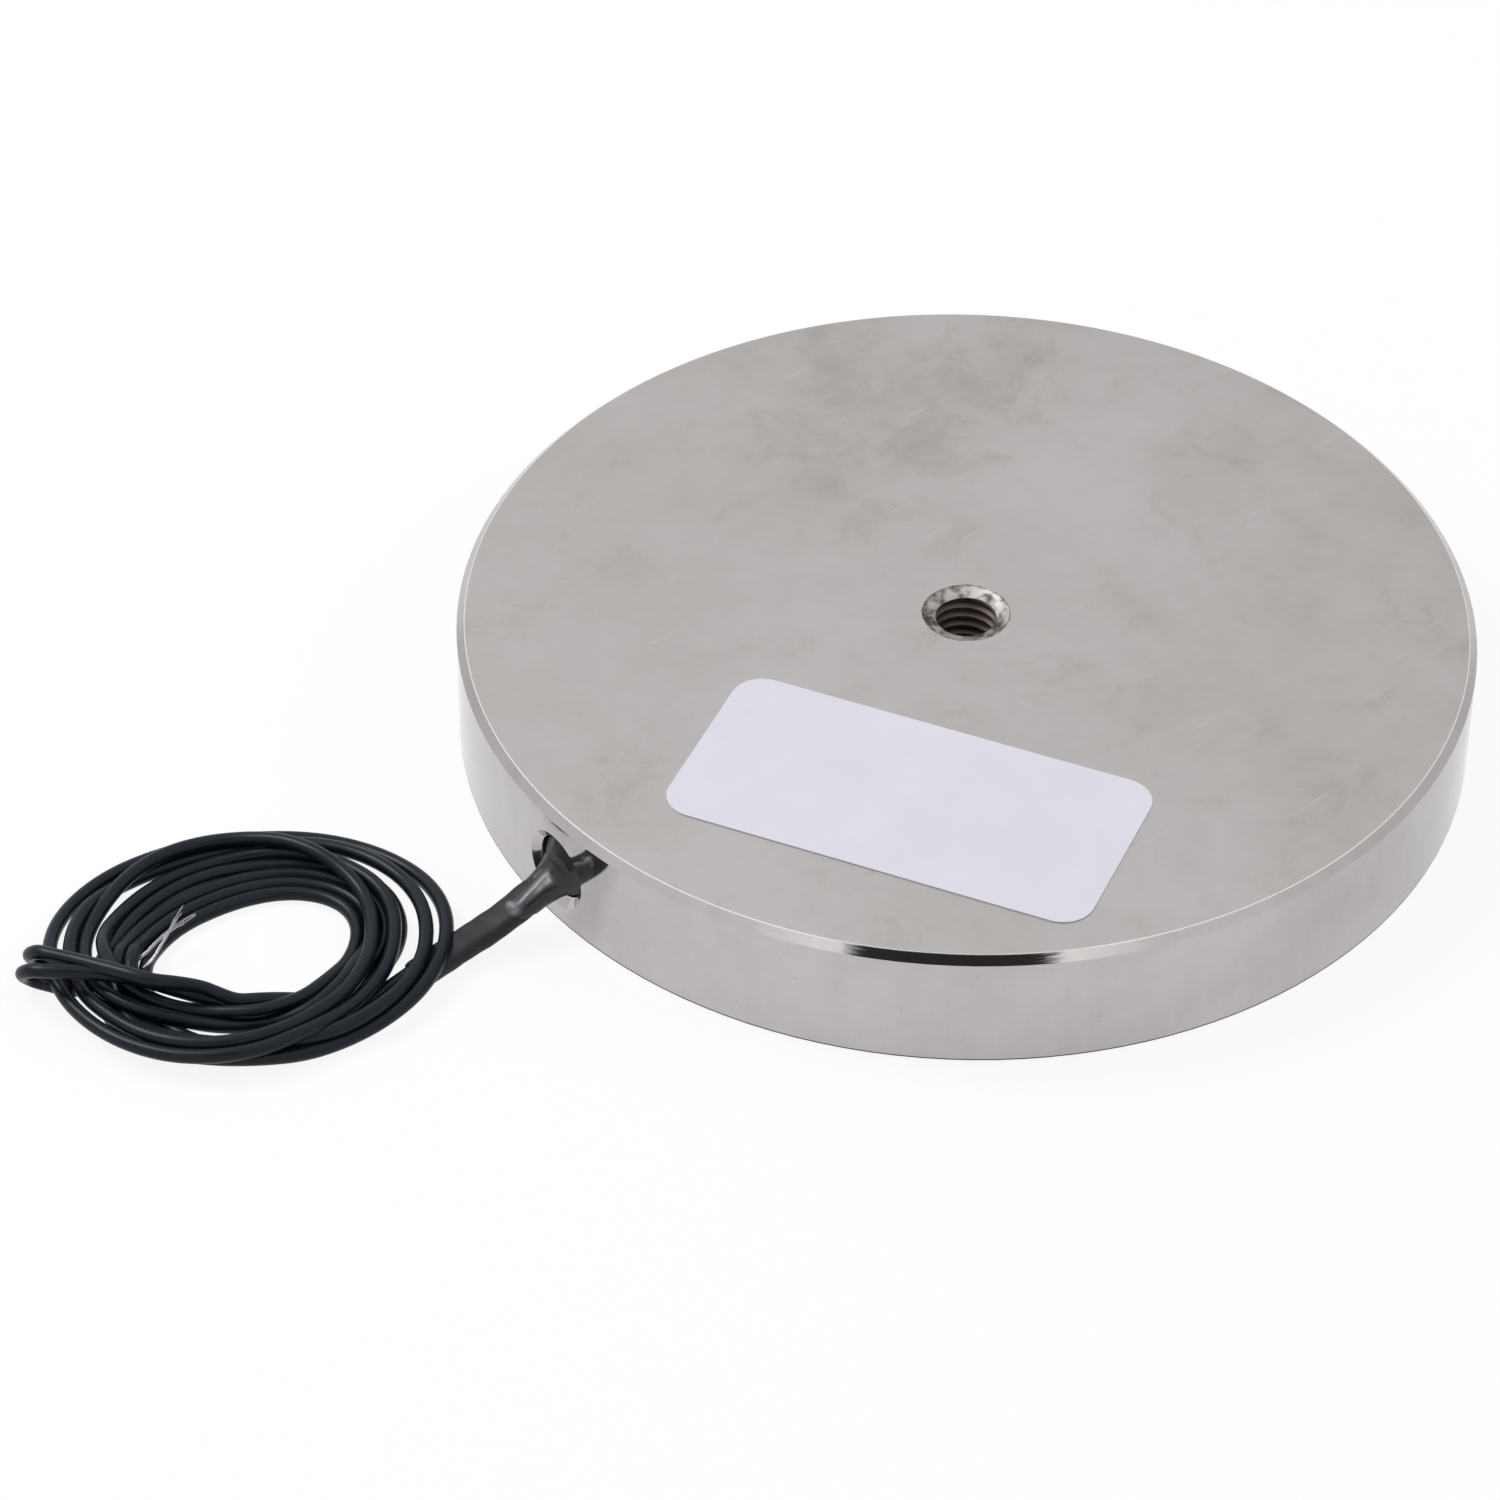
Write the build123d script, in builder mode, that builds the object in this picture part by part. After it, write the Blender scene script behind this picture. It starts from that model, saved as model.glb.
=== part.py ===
from build123d import *
from math import atan2, cos, pi, radians, sin, tan
import os

# Flat round holding electromagnet, 70 mm across and 9 mm thick.
# Millimetres, +Z up. The origin is the centre of the holding face, which lies
# on Z = 0. The back, with its threaded hole, faces up. The two leads leave the
# rim towards -X and lie in a loose coil on the same surface.

os.makedirs("parts", exist_ok=True)

# Steel pot with its centre pole
body_d = 70.0
body_h = 9.0
rim_wall = 4.0
groove_w = 15.0
groove_depth = 6.0
back_chamfer = 0.55
face_edge_break = 0.12

# Threaded hole in the back, M5
thread_d = 5.0
thread_depth = 6.0
countersink_d = 6.1
drill_point_angle = 118.0

# Hole in the rim for the leads
exit_d = 4.6
exit_z = 4.3
exit_chamfer = 0.6
exit_overrun = 1.15

# Winding on its bobbin, set in the groove
bobbin_clearance = 0.15
splice_room = 3.5
bobbin_core_wall = 0.6
bobbin_flange = 0.5
tape_t = 0.2
flange_lip = 0.5
resin_face_t = 0.9

# Joints between the winding's wires and the leads
magnet_wire_d = 0.3
splice_d = 0.8
splice_len = 4.0
splice_tube_wall = 0.25
splice_tube_len = 7.0
splice_run = 5.75
splice_lean = 13.7
tube_clearance = 0.01
wire_tail = 1.6
wire_turn_out = 1.1
wire_bend = 0.9
finish_wire_step = 3.8
start_wire_step = 6.8
slot_clearance = 0.1

# Leads and the sleeve shrunk over both of them
lead_d = 1.0
lead_gap = 0.02
sleeve_wall = 0.19
sleeve_start = -2.6
sleeve_end = 11.3

# Share of the shorter run that an arc at a corner may take up
arc_share = 0.45

# The sleeve's line seen from above turns this far from -X towards +Y
sleeve_turn = 4.6
# Where the leads turn into the hole: distance in from the rim, and height
lead_corner = (-5.45, 3.75)
# The leads' route out of the hole and down to the surface, as distance out
# from the rim along the sleeve's line, and height
lead_run = [(0.3, 3.75), (4.0, 1.85), (8.9, 0.72), (11.5, 0.72)]

# Glue round the sleeve where it leaves the rim
glue_recess = 0.5
glue_root = (-0.6, 3.2, 2.4)
glue_tip = (2.15, 2.55, 1.6)

# Loose coil of both leads, as one closed solid of its outer shape
coil_x = -53.2
coil_y = 8.6
coil_long_d = 26.4
coil_short_d = 22.6
coil_open_long_d = 14.6
coil_open_short_d = 10.2
coil_h = 3.6
coil_inner_slope = 2.6
coil_top_round = 1.2
coil_foot_edge = 0.3
sleeve_slot_gap = 0.05
slot_below_floor = 1.0

# The leads' ends cross over the coil's left side and fold under it
wrap_x = -64.2
wrap_y = 12.6
wrap_angle = 130.0
wrap_len = 10.4
wrap_w = 3.6
wrap_h = 4.3
wrap_corner = 1.4

# Bare ends of the leads, from where they leave the coil to their tips
bare_d = 0.5
bare_a = [(-60.2, 10.9, 2.0), (-57.6, 12.05, 2.45), (-55.0, 13.6, 2.4)]
bare_b = [(-60.2, 11.9, 1.3), (-57.6, 12.7, 1.75), (-55.1, 12.65, 1.8)]

# Label on the back
label_w = 30.0
label_h = 15.0
label_corner = 2.2
label_t = 0.08
label_x = -15.2
label_y = -12.7
label_angle = -60.7

body_r = body_d / 2
groove_r = body_r - rim_wall
pole_r = groove_r - groove_w
thread_r = thread_d / 2
exit_r = exit_d / 2
bobbin_r = groove_r - splice_room
bobbin_bore_r = pole_r + bobbin_clearance
winding_inner_r = bobbin_bore_r + bobbin_core_wall
tape_r = bobbin_r - flange_lip
winding_outer_r = tape_r - tape_t
winding_bottom = resin_face_t + bobbin_flange
winding_top = groove_depth - bobbin_flange
lead_r = lead_d / 2


def save(piece, label):
    """Name a finished piece and write it to its own file."""
    piece.part.label = label
    export_step(piece.part, f"parts/{label}.step")


def path_radii(points):
    """As large an arc at each corner as its two runs allow."""
    radii = []
    for before, corner, after in zip(points, points[1:], points[2:]):
        run_in = corner - before
        run_out = after - corner
        half_turn = radians(run_in.get_angle(run_out)) / 2
        radii.append(arc_share * min(run_in.length, run_out.length) / tan(half_turn))
    return radii


def rim_point(out, side, height):
    """Point at a distance out from the rim along the sleeve's line, and to its side."""
    turn = radians(sleeve_turn)
    x = -body_r - out * cos(turn) + side * sin(turn)
    y = out * sin(turn) + side * cos(turn)
    return Vector(x, y, height)


def lead_points(side):
    """Route of a lead's centre line, from its splice to the coil. Side is 1 or -1."""
    offset = side * (lead_r + lead_gap / 2)
    corner = rim_point(lead_corner[0], offset, lead_corner[1])
    start = corner + splice_direction(side) * splice_run
    return [start, corner] + [rim_point(out, offset, height) for out, height in lead_run]


def splice_direction(side):
    """Unit direction of a splice, from the lead towards the winding's wire."""
    lean = radians(splice_lean)
    return Vector(sin(lean), side * cos(lean), 0)


def wire_tail_points(side):
    """Straight tail of a winding's wire, out of its splice's far end."""
    direction = splice_direction(side)
    joint = lead_points(side)[0] + direction * splice_len
    return [joint, joint + direction * wire_tail]


def wire_angle(side, step):
    """Angle from -X where a wire turns in to the winding, a step past its tail."""
    tail_end = wire_tail_points(side)[1]
    return atan2(tail_end.Y, -tail_end.X) + side * radians(step)


def groove_point(radius, angle, height):
    """Point in the groove, at an angle from -X towards +Y."""
    return Vector(-radius * cos(angle), radius * sin(angle), height)


def tube_along(points, radii, diameter):
    """Round tube along straight runs joined by tangent arcs."""
    with BuildPart() as tube:
        with BuildLine() as route:
            FilletPolyline(*points, radius=radii)
        with BuildSketch(Plane(route.wires()[0] @ 0, z_dir=route.wires()[0] % 0)):
            Circle(diameter / 2)
        sweep(path=route.wires()[0])
    return tube


def report_route(label, points, radii, tube, section):
    """Print a route's corner radii, and its volume against section times length."""
    arcs = 0.0
    for before, corner, after, radius in zip(points, points[1:], points[2:], radii):
        turn = radians((corner - before).get_angle(after - corner))
        arcs += radius * turn - 2 * radius * tan(turn / 2)
    straight = sum((after - before).length for before, after in zip(points, points[1:]))
    length = straight + arcs
    print(label, "radii", [round(radius, 2) for radius in radii], "length", round(length, 2),
          "volume ratio", round(tube.part.volume / (section * length), 4))


# Steel pot, turned in one piece with its centre pole
with BuildPart() as magnet_shell:
    with BuildSketch():
        Circle(body_r)
    extrude(amount=body_h)
    chamfer(magnet_shell.edges().group_by(Axis.Z)[-1], length=back_chamfer)
    chamfer(magnet_shell.edges().group_by(Axis.Z)[0], length=face_edge_break)
    # Groove for the winding
    with BuildSketch():
        Circle(groove_r)
        Circle(pole_r, mode=Mode.SUBTRACT)
    extrude(amount=groove_depth, mode=Mode.SUBTRACT)
    # Blind threaded hole, at the thread's outer diameter, with its drill point
    with BuildSketch(Plane.XZ):
        with BuildLine():
            Polyline(
                (0, body_h),
                (countersink_d / 2, body_h),
                (thread_r, body_h - (countersink_d / 2 - thread_r)),
                (thread_r, body_h - thread_depth),
                (0, body_h - thread_depth - thread_r / tan(radians(drill_point_angle / 2))),
                close=True,
            )
        make_face()
    revolve(axis=Axis.Z, mode=Mode.SUBTRACT)
    # Lead hole through the rim, chamfered outside
    with BuildSketch(Plane.XZ):
        with BuildLine():
            Polyline(
                (-groove_r + exit_overrun, exit_z),
                (-groove_r + exit_overrun, exit_z + exit_r),
                (-body_r + exit_chamfer, exit_z + exit_r),
                (-body_r - exit_chamfer, exit_z + exit_r + 2 * exit_chamfer),
                (-body_r - exit_chamfer, exit_z),
                close=True,
            )
        make_face()
    revolve(axis=Axis((0, 0, exit_z), (1, 0, 0)), mode=Mode.SUBTRACT)
save(magnet_shell, "magnet_shell")

# Moulded bobbin, open to the outside, with a slot in its lower flange
with BuildPart() as coil_bobbin:
    with BuildSketch(Plane.XZ):
        with BuildLine():
            Polyline(
                (bobbin_bore_r, resin_face_t),
                (bobbin_r, resin_face_t),
                (bobbin_r, winding_bottom),
                (winding_inner_r, winding_bottom),
                (winding_inner_r, winding_top),
                (bobbin_r, winding_top),
                (bobbin_r, groove_depth),
                (bobbin_bore_r, groove_depth),
                close=True,
            )
        make_face()
    revolve(axis=Axis.Z)
    # Slot that lets the winding's first turn out under the rest
    slot_side = groove_point(1, wire_angle(1, start_wire_step), 0)
    slot_plane = Plane((0, 0, resin_face_t), x_dir=slot_side)
    with BuildSketch(slot_plane):
        with Locations(((winding_inner_r + bobbin_r) / 2, 0)):
            Rectangle(bobbin_r - winding_inner_r, magnet_wire_d + 2 * slot_clearance)
    extrude(amount=bobbin_flange, mode=Mode.SUBTRACT)
save(coil_bobbin, "coil_bobbin")

# Winding of enamelled wire, as one body
with BuildPart() as coil_winding:
    with BuildSketch(Plane.XY.offset(winding_bottom)):
        Circle(winding_outer_r)
        Circle(winding_inner_r, mode=Mode.SUBTRACT)
    extrude(amount=winding_top - winding_bottom)
save(coil_winding, "coil_winding")

# Tape round the winding
with BuildPart() as winding_tape:
    with BuildSketch(Plane.XY.offset(winding_bottom)):
        Circle(tape_r)
        Circle(winding_outer_r, mode=Mode.SUBTRACT)
    extrude(amount=winding_top - winding_bottom)
save(winding_tape, "winding_tape")

# Both leads, from their splices to the coil
lead_section = pi * lead_r**2
leads = {}
for label, side in (("lead_a", 1), ("lead_b", -1)):
    points = lead_points(side)
    radii = path_radii(points)
    leads[label] = tube_along(points, radii, lead_d)
    report_route(label, points, radii, leads[label], lead_section)
    save(leads[label], label)

# Splices and the insulating tubes over them
splices = {}
splice_tubes = {}
for label, side in (("a", 1), ("b", -1)):
    direction = splice_direction(side)
    near_end = lead_points(side)[0]
    middle = near_end + direction * (splice_len / 2)
    with BuildPart() as splice:
        with BuildSketch(Plane(near_end, z_dir=direction)):
            Circle(splice_d / 2)
        extrude(amount=splice_len)
    splices[label] = splice
    save(splice, f"splice_{label}")
    with BuildPart() as splice_tube:
        with BuildSketch(Plane(middle - direction * (splice_tube_len / 2), z_dir=direction)):
            Circle(lead_r + tube_clearance + splice_tube_wall)
            Circle(lead_r + tube_clearance, mode=Mode.SUBTRACT)
        extrude(amount=splice_tube_len)
    splice_tubes[label] = splice_tube
    save(splice_tube, f"splice_tube_{label}")


def winding_wire(side, step, end_radius, end_height):
    """End of the winding's wire: from a splice's far end in to the winding."""
    angle = wire_angle(side, step)
    turn_in = groove_point(bobbin_r + wire_turn_out, angle, end_height)
    end = groove_point(end_radius, angle, end_height)
    points = wire_tail_points(side) + [turn_in, end]
    return tube_along(points, [wire_bend] * (len(points) - 2), magnet_wire_d)


# The winding's outer end leaves through the tape, its inner end through the slot
finish_wire = winding_wire(-1, finish_wire_step, tape_r, lead_corner[1])
save(finish_wire, "finish_wire")
slot_z = winding_bottom - magnet_wire_d / 2
start_wire = winding_wire(1, start_wire_step, winding_inner_r + magnet_wire_d, slot_z)
save(start_wire, "start_wire")

# Sleeve shrunk over both leads, with a flat-sided section
sleeve_run = [(sleeve_start, lead_run[0][1])] + lead_run[:-1] + [(sleeve_end, lead_run[-1][1])]
sleeve_points = [rim_point(out, 0, height) for out, height in sleeve_run]
sleeve_radii = path_radii(lead_points(1))[1:]
bore_w = 2 * lead_d + lead_gap + 2 * tube_clearance
bore_h = lead_d + 2 * tube_clearance
sleeve_w = bore_w + 2 * sleeve_wall
sleeve_h = bore_h + 2 * sleeve_wall


def sleeve_shape(points, width, height):
    """Solid of a flat-sided section along the sleeve's line."""
    start = points[1] - points[0]
    end_plane = Plane(points[0], x_dir=Vector(0, 0, 1).cross(start), z_dir=start)
    with BuildPart() as shape:
        with BuildLine() as route:
            FilletPolyline(*points, radius=sleeve_radii)
        with BuildSketch(end_plane):
            SlotOverall(width, height)
        sweep(path=route.wires()[0])
    return shape


sleeve_outside = sleeve_shape(sleeve_points, sleeve_w, sleeve_h)
with BuildPart() as lead_sleeve:
    add(sleeve_outside.part)
    add(sleeve_shape(sleeve_points, bore_w, bore_h).part, mode=Mode.SUBTRACT)
save(lead_sleeve, "lead_sleeve")

# Glue that fills the hole round the sleeve and tapers out along it
glue_slope = Vector(*lead_run[1]) - Vector(*lead_run[0])
tip_height = lead_run[0][1] + (glue_tip[0] - lead_run[0][0]) * glue_slope.Y / glue_slope.X
across = rim_point(0, 1, 0) - rim_point(0, 0, 0)
outward = rim_point(1, 0, 0) - rim_point(0, 0, 0)
root_plane = Plane(rim_point(glue_root[0], 0, lead_run[0][1]), x_dir=across, z_dir=outward)
tip_normal = rim_point(glue_slope.X, 0, glue_slope.Y) - rim_point(0, 0, 0)
tip_plane = Plane(rim_point(glue_tip[0], 0, tip_height), x_dir=across, z_dir=tip_normal)
with BuildPart() as exit_glue:
    with BuildSketch(Plane((-body_r + glue_recess, 0, exit_z), z_dir=(1, 0, 0))):
        Circle(exit_r)
    extrude(amount=rim_wall - glue_recess)
    with BuildSketch(root_plane):
        SlotOverall(glue_root[1], glue_root[2])
    with BuildSketch(tip_plane):
        SlotOverall(glue_tip[1], glue_tip[2])
    loft()
    add(sleeve_outside.part, mode=Mode.SUBTRACT)
    for lead in leads.values():
        add(lead.part, mode=Mode.SUBTRACT)
save(exit_glue, "exit_glue")

# Casting resin: the face of the groove and the space outside the bobbin
with BuildPart() as potting_resin:
    with BuildSketch(Plane.XZ):
        with BuildLine():
            Polyline(
                (pole_r, 0),
                (groove_r, 0),
                (groove_r, groove_depth),
                (bobbin_r, groove_depth),
                (bobbin_r, resin_face_t),
                (pole_r, resin_face_t),
                close=True,
            )
        make_face()
    revolve(axis=Axis.Z)
    for buried in (*leads.values(), *splices.values(), *splice_tubes.values(), start_wire, finish_wire):
        add(buried.part, mode=Mode.SUBTRACT)
save(potting_resin, "potting_resin")

# Loose coil on the surface, with room for the sleeve that runs in under it
slot_run = [(sleeve_start, lead_run[0][1])] + lead_run
slot_points = [rim_point(out, 0, height) for out, height in slot_run]
sleeve_side_view = Plane(rim_point(0, 0, 0), x_dir=outward, z_dir=across)
with BuildPart() as sleeve_slot:
    add(sleeve_shape(slot_points, sleeve_w + 2 * sleeve_slot_gap, sleeve_h + 2 * sleeve_slot_gap).part)
    with BuildSketch(sleeve_side_view):
        with BuildLine():
            Polyline(
                *lead_run,
                (lead_run[-1][0], -slot_below_floor),
                (lead_run[0][0], -slot_below_floor),
                close=True,
            )
        make_face()
    extrude(amount=sleeve_w / 2 + sleeve_slot_gap, both=True)
with BuildPart() as lead_hank:
    with BuildSketch(Plane((coil_x, coil_y, 0))):
        Ellipse(coil_long_d / 2, coil_short_d / 2)
        Ellipse(coil_open_long_d / 2, coil_open_short_d / 2, mode=Mode.SUBTRACT)
    extrude(amount=coil_h)
    top_edges = lead_hank.edges().group_by(Axis.Z)[-1].sort_by(SortBy.LENGTH)
    chamfer(top_edges[0], length=coil_inner_slope)
    outer_edge = lead_hank.edges().group_by(Axis.Z)[-1].sort_by(SortBy.LENGTH)[-1]
    fillet(outer_edge, radius=coil_top_round)
    chamfer(lead_hank.edges().group_by(Axis.Z)[0], length=coil_foot_edge)
    with BuildSketch(Plane((wrap_x, wrap_y, 0))):
        RectangleRounded(wrap_len, wrap_w, wrap_corner, rotation=wrap_angle)
    extrude(amount=wrap_h)
    add(sleeve_slot.part, mode=Mode.SUBTRACT)
save(lead_hank, "lead_hank")

# Bare stranded ends of both leads
for label, points in (("lead_tip_a", bare_a), ("lead_tip_b", bare_b)):
    points = [Vector(*point) for point in points]
    with BuildPart() as lead_tip:
        add(tube_along(points, path_radii(points), bare_d).part)
        add(lead_hank.part, mode=Mode.SUBTRACT)
    save(lead_tip, label)

# Foil label on the back
with BuildPart() as rating_label:
    with BuildSketch(Plane((label_x, label_y, body_h))):
        RectangleRounded(label_w, label_h, label_corner, rotation=label_angle)
    extrude(amount=label_t)
save(rating_label, "rating_label")
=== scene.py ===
import functools
import math

import bpy
import numpy as np
from mathutils import Matrix, Vector


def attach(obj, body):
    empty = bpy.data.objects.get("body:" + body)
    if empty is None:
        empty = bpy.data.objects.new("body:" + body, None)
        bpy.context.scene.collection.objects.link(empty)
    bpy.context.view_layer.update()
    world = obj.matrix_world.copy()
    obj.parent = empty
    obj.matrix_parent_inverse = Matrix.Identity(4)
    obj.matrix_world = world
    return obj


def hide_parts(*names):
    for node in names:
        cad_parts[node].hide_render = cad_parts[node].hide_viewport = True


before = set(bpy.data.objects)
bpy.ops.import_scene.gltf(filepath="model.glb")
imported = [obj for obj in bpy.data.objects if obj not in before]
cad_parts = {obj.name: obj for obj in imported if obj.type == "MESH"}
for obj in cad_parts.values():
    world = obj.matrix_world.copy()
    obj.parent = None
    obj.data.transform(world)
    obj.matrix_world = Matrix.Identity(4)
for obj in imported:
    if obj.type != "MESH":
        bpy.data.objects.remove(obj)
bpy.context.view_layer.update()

bl_info = {
    "name": "Holding electromagnet",
    "version": (1, 0, 0),
    "blender": (4, 5, 0),
    "location": "3D View > Sidebar > Magnet",
    "description": "Dresses a flat round holding electromagnet: leads, exit, thread and finishes",
    "category": "Object",
}

MM = 0.001
RIM_RADIUS = 35.0
BODY = "root"


# Settings


def length_setting(name, description, metres):
    """A length property in metres."""
    return bpy.props.FloatProperty(
        name=name, description=description, default=metres, unit="LENGTH", precision=5)


class MagnetSizes(bpy.types.PropertyGroup):
    """Sizes of the dressed pieces."""

    lead_diameter: length_setting("Lead diameter", "Diameter over a lead's insulation", 0.001)
    lead_length: length_setting("Lead length", "Length of each lead, from splice to bare end", 0.29)
    strand_diameter: length_setting("Strand diameter", "Diameter of one fine wire", 0.00009)
    strand_count: bpy.props.IntProperty(
        name="Strands", description="Fine wires in each bare end", default=6, min=3, max=30)
    thread_pitch: length_setting("Thread pitch", "Rise of the fixing thread in one turn", 0.0008)


def linear(code):
    """Linear RGBA of an sRGB hex code: the sRGB curve undone channel by channel."""
    channels = [int(code[i:i + 2], 16) / 255 for i in (1, 3, 5)]
    return (*(c / 12.92 if c <= 0.04045 else ((c + 0.055) / 1.055) ** 2.4 for c in channels), 1.0)


def colour_setting(name, description, code):
    """A colour property whose default is an sRGB hex code."""
    return bpy.props.FloatVectorProperty(
        name=name, description=description, subtype="COLOR", size=3,
        min=0.0, max=1.0, default=linear(code)[:3])


class MagnetColours(bpy.types.PropertyGroup):
    """Colours of the finishes."""

    nickel: colour_setting("Nickel", "Satin nickel plating on the back", "#BDBAB9")
    nickel_rim: colour_setting("Polished nickel", "Nickel plating on the turned rim", "#BEBBBA")
    lead: colour_setting("Lead insulation", "Black insulation of the leads", "#0E141B")
    sleeve: colour_setting("Sleeve", "Heat-shrunk sleeve over the leads", "#1A1B1F")
    label: colour_setting("Label", "Film of the blank label", "#DDDCE6")
    resin: colour_setting("Resin", "Casting resin in the holding face", "#1B1C1E")


# Meshes and curves


def grid_faces(rings, caps=True):
    """Points and arrays of faces of a closed grid, rings x points round each.

    Each face joins neighbours i, i+1 on ring j to the same two on ring j+1. With
    caps, a fan from a ring's mean closes each end. Without, the last ring joins
    the first.
    """
    count, around = rings.shape[:2]
    j, i = np.meshgrid(np.arange(count - 1 if caps else count), np.arange(around), indexing="ij")
    k = (i + 1) % around
    after = (j + 1) % count
    quads = np.stack([j * around + i, j * around + k, after * around + k, after * around + i], -1)
    points = rings.reshape(-1, 3)
    if not caps:
        return points, [quads.reshape(-1, 4)]
    points = np.vstack([points, rings[0].mean(0), rings[-1].mean(0)])
    i = np.arange(around)
    k = (i + 1) % around
    first, last = count * around, count * around + 1
    top = (count - 1) * around
    start_fan = np.stack([np.full(around, first), k, i], -1)
    end_fan = np.stack([np.full(around, last), top + i, top + k], -1)
    return points, [quads.reshape(-1, 4), start_fan, end_fan]


def smooth_mesh(name, parts):
    """One smooth mesh of several (points, arrays of faces) pairs, given in millimetres."""
    points, faces, start = [], [], 0
    for part_points, part_faces in parts:
        points.append(part_points)
        for group in part_faces:
            faces += (group + start).tolist()
        start += len(part_points)
    mesh = bpy.data.meshes.new(name)
    mesh.from_pydata((np.vstack(points) * MM).tolist(), [], faces)
    mesh.shade_smooth()
    return mesh


def add_object(name, data, material, replaced=()):
    """Puts a finished piece in the scene, on the magnet's body."""
    piece = bpy.data.objects.new(name, data)
    bpy.context.scene.collection.objects.link(piece)
    data.materials.append(material)
    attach(piece, BODY)
    if replaced:
        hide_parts(*replaced)
    return piece


def nurbs_curve(name, points, diameter=0.0):
    """Curve of one open NURBS spline of order 3 that ends at its first and last points."""
    curve = bpy.data.curves.new(name, "CURVE")
    curve.dimensions = "3D"
    curve.resolution_u = 8
    curve.bevel_depth = diameter / 2
    curve.bevel_resolution = 5
    curve.use_fill_caps = diameter > 0
    spline = curve.splines.new("NURBS")
    spline.points.add(len(points) - 1)
    flat = np.column_stack([points, np.ones(len(points))]).ravel()
    spline.points.foreach_set("co", flat)
    spline.order_u = 3
    spline.use_endpoint_u = True
    return curve


def spline_points(points):
    """Points along the NURBS spline that has these control points."""
    curve = nurbs_curve("measure", points)
    carrier = bpy.data.objects.new("measure", curve)
    mesh = bpy.data.meshes.new_from_object(carrier)
    line = np.empty(3 * len(mesh.vertices))
    mesh.vertices.foreach_get("co", line)
    bpy.data.objects.remove(carrier)
    bpy.data.meshes.remove(mesh)
    bpy.data.curves.remove(curve)
    return line.reshape(-1, 3)


def along(line, distances):
    """Points at these distances along a polyline, by straight interpolation."""
    travelled = np.r_[0, np.cumsum(np.linalg.norm(np.diff(line, axis=0), axis=1))]
    return np.stack([np.interp(distances, travelled, line[:, k]) for k in range(3)], 1)


def tube(path, section):
    """Rings of a flat section carried along a path.

    At each point of the path the section's first coordinate goes level to the
    side, square to the path, and its second goes square to both. The section is
    points round x 2, or one such array for each point of the path.
    """
    ahead = np.gradient(path, axis=0)
    ahead /= np.linalg.norm(ahead, axis=1)[:, None]
    side = np.cross((0.0, 0.0, 1.0), ahead)
    side /= np.linalg.norm(side, axis=1)[:, None]
    up = np.cross(ahead, side)
    section = np.broadcast_to(section, (len(path),) + np.shape(section)[-2:])
    return path[:, None] + section[..., :1] * side[:, None] + section[..., 1:] * up[:, None]


# The leads' route

# Height and distance out from the rim of the leads where they leave the pot,
# as in the part's own source, in millimetres
LEAD_RUN = [(0.3, 3.75), (4.0, 1.85), (8.9, 0.72)]
LEAD_CORNER = (-5.45, 3.75)
SPLICE_RUN = 5.75
SPLICE_LEAN = math.radians(13.7)
SLEEVE_TURN = math.radians(4.6)
LEAD_OFFSET = 0.51

# The loose coil: radius and height of each lead every 30 degrees, clockwise from
# 300 degrees, two rows a turn, in millimetres
COIL_CENTRE = (-53.5, 8.5)
COIL_START = 300.0
STATION_STEP = 30.0
COIL_A = [
    (9.2, .5), (8.4, .5), (8.85, .5), (9.1, .5), (8.4, .5), (7.3, .5),
    (6.2, .5), (5.5, .5), (5.9, .5), (7.1, .5), (8.2, .5), (7.1, .6),
    (6.3, 1.3), (6.5, 1.4), (6.6, 1.3), (6.6, .9), (8.6, 1.4), (10.2, 1.2),
    (10.2, .5), (10.1, .5), (10.0, .7), (9.95, 1.35), (10.4, 1.37), (9.6, 1.35),
    (9.2, 1.4), (9.2, 1.5), (10.7, 2.2), (11.8, 1.8), (12.7, 1.4), (13.9, .8),
    (14.0, .5), (12.6, .5), (11.9, .5), (12.7, .5), (13.6, .8), (13.3, 2.0),
    (12.25, 1.9), (10.3, .9), (10.4, 1.35), (10.9, 1.35), (11.4, .5), (10.3, .5),
    (9.2, .5), (9.0, .5), (9.2, .5), (10.2, .5), (10.9, .5), (9.8, .5),
    (7.6, .5), (6.6, .5), (5.2, .5),
]
COIL_B = [
    (10.2, .5), (9.4, .5), (9.85, .5), (10.1, .5), (9.4, .5), (8.3, .5),
    (7.2, .5), (6.5, .5), (6.9, .5), (8.1, .5), (9.1, .5), (8.0, .5),
    (6.9, 1.3), (6.9, 1.3), (6.5, .9), (7.2, .9), (10.3, 1.4), (11.6, 1.2),
    (11.9, .8), (11.6, 1.37), (11.0, 1.5), (9.7, 2.2), (9.1, 1.4), (7.9, 1.4),
    (7.9, 2.1), (8.6, 2.1), (9.8, 2.3), (10.95, 2.2), (11.35, 1.5), (12.2, 1.2),
    (12.4, 1.35), (11.2, .5), (10.9, .7), (11.7, 1.35), (12.3, 1.2), (11.8, 2.0),
    (11.5, 1.9), (10.2, 1.7), (9.4, 1.35), (10.0, 1.35), (10.4, .5), (9.3, .5),
    (8.2, .5), (7.5, .5), (7.8, .5), (9.1, .5), (10.0, .5), (8.9, .5),
    (6.9, .5), (5.9, .6), (5.2, 1.1),
]
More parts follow.
